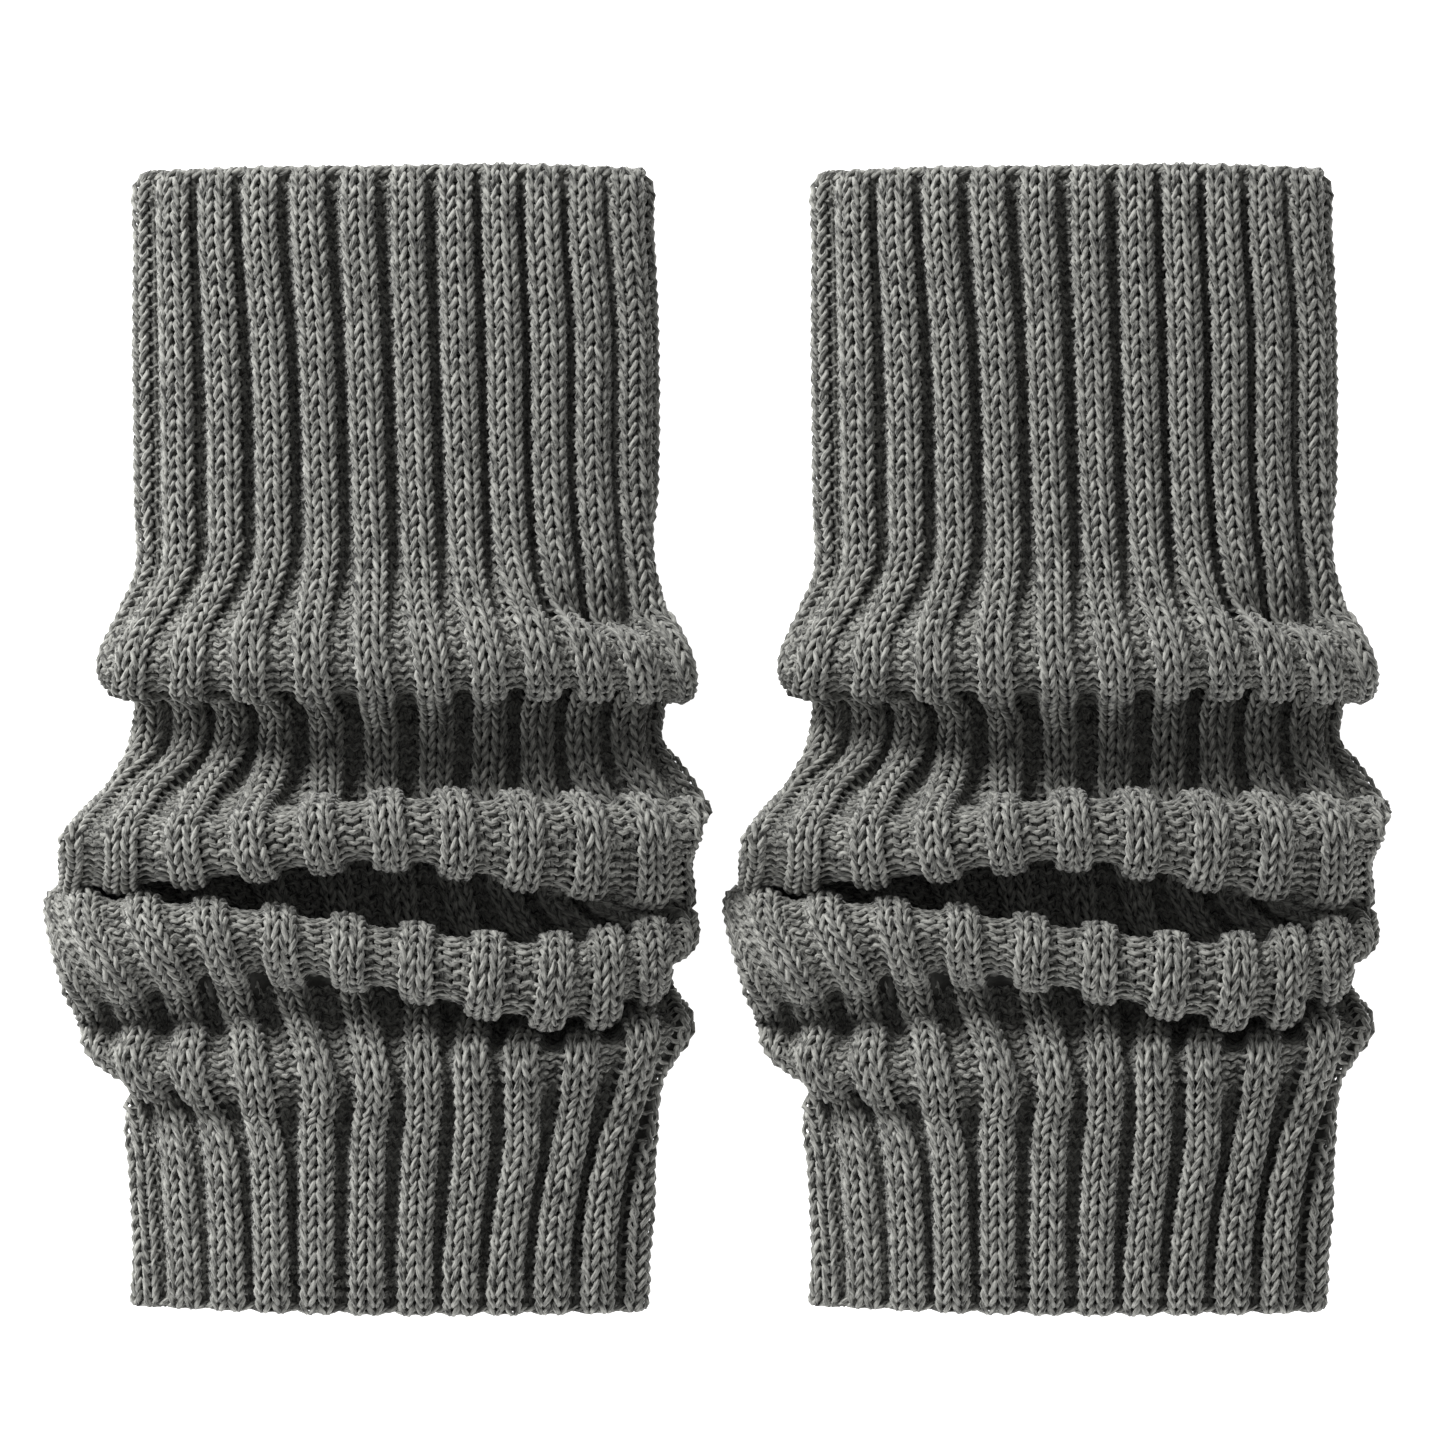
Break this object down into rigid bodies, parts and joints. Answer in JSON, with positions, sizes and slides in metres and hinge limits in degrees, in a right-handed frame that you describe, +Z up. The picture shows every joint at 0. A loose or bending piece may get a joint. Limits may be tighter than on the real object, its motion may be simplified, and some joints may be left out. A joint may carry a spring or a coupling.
{
  "type": "fingerless gloves",
  "caption": "Thumbless rib-knit fingerless gloves: open knitted tubes with a long upper cuff, a short lower cuff and a middle gathered into soft folds.",
  "frame": {"origin": "on the table, below the middle of the pair's box", "axes": "+Z up from the table, +Y from the lower cuffs to the upper cuffs, +X from the left glove to the right glove"},
  "size_m": [0.2334, 0.2002, 0.0262],
  "materials": {
    "ribbed_knit": "matt two by two rib knit in grey melange yarn",
    "edge_knit": "matt, tighter edge rows in the same grey melange yarn"
  },
  "bodies": {
    "left_lower_cuff": {"left_lower_cuff": "ribbed_knit", "left_bind_off_edge": "edge_knit"},
    "left_fourth_fold": {"left_fourth_fold": "ribbed_knit"},
    "left_third_fold": {"left_third_fold": "ribbed_knit"},
    "left_second_fold": {"left_second_fold": "ribbed_knit"},
    "left_first_fold": {"left_waist": "ribbed_knit", "left_first_fold": "ribbed_knit"},
    "left_upper_cuff": {"left_upper_cuff": "ribbed_knit", "left_cast_on_edge": "edge_knit"},
    "right_lower_cuff": {"right_lower_cuff": "ribbed_knit", "right_bind_off_edge": "edge_knit"},
    "right_fourth_fold": {"right_fourth_fold": "ribbed_knit"},
    "right_third_fold": {"right_third_fold": "ribbed_knit"},
    "right_second_fold": {"right_second_fold": "ribbed_knit"},
    "right_first_fold": {"right_waist": "ribbed_knit", "right_first_fold": "ribbed_knit"},
    "right_upper_cuff": {"right_upper_cuff": "ribbed_knit", "right_cast_on_edge": "edge_knit"}
  },
  "joints": [
    {"name": "left_fourth_fold_gather", "type": "slide", "parent": "left_lower_cuff", "child": "left_fourth_fold", "axis": [0, 1, 0], "range_m": [0, 0.01]},
    {"name": "left_third_fold_gather", "type": "slide", "parent": "left_fourth_fold", "child": "left_third_fold", "axis": [0, 1, 0], "range_m": [0, 0.01]},
    {"name": "left_second_fold_gather", "type": "slide", "parent": "left_third_fold", "child": "left_second_fold", "axis": [0, 1, 0], "range_m": [0, 0.01]},
    {"name": "left_first_fold_gather", "type": "slide", "parent": "left_second_fold", "child": "left_first_fold", "axis": [0, 1, 0], "range_m": [0, 0.01]},
    {"name": "left_upper_cuff_gather", "type": "slide", "parent": "left_first_fold", "child": "left_upper_cuff", "axis": [0, 1, 0], "range_m": [0, 0.01]},
    {"name": "right_fourth_fold_gather", "type": "slide", "parent": "right_lower_cuff", "child": "right_fourth_fold", "axis": [0, 1, 0], "range_m": [0, 0.01]},
    {"name": "right_third_fold_gather", "type": "slide", "parent": "right_fourth_fold", "child": "right_third_fold", "axis": [0, 1, 0], "range_m": [0, 0.01]},
    {"name": "right_second_fold_gather", "type": "slide", "parent": "right_third_fold", "child": "right_second_fold", "axis": [0, 1, 0], "range_m": [0, 0.01]},
    {"name": "right_first_fold_gather", "type": "slide", "parent": "right_second_fold", "child": "right_first_fold", "axis": [0, 1, 0], "range_m": [0, 0.01]},
    {"name": "right_upper_cuff_gather", "type": "slide", "parent": "right_first_fold", "child": "right_upper_cuff", "axis": [0, 1, 0], "range_m": [0, 0.01]},
    {"name": "pair_apart", "type": "slide", "parent": "left_lower_cuff", "child": "right_lower_cuff", "axis": [1, 0, 0], "range_m": [0, 0.12]}
  ],
  "couplings": [
    {"joint": "left_third_fold_gather", "follows": "left_fourth_fold_gather", "ratio": 1},
    {"joint": "left_second_fold_gather", "follows": "left_fourth_fold_gather", "ratio": 1},
    {"joint": "left_first_fold_gather", "follows": "left_fourth_fold_gather", "ratio": 1},
    {"joint": "left_upper_cuff_gather", "follows": "left_fourth_fold_gather", "ratio": 1},
    {"joint": "right_third_fold_gather", "follows": "right_fourth_fold_gather", "ratio": 1},
    {"joint": "right_second_fold_gather", "follows": "right_fourth_fold_gather", "ratio": 1},
    {"joint": "right_first_fold_gather", "follows": "right_fourth_fold_gather", "ratio": 1},
    {"joint": "right_upper_cuff_gather", "follows": "right_fourth_fold_gather", "ratio": 1}
  ]
}
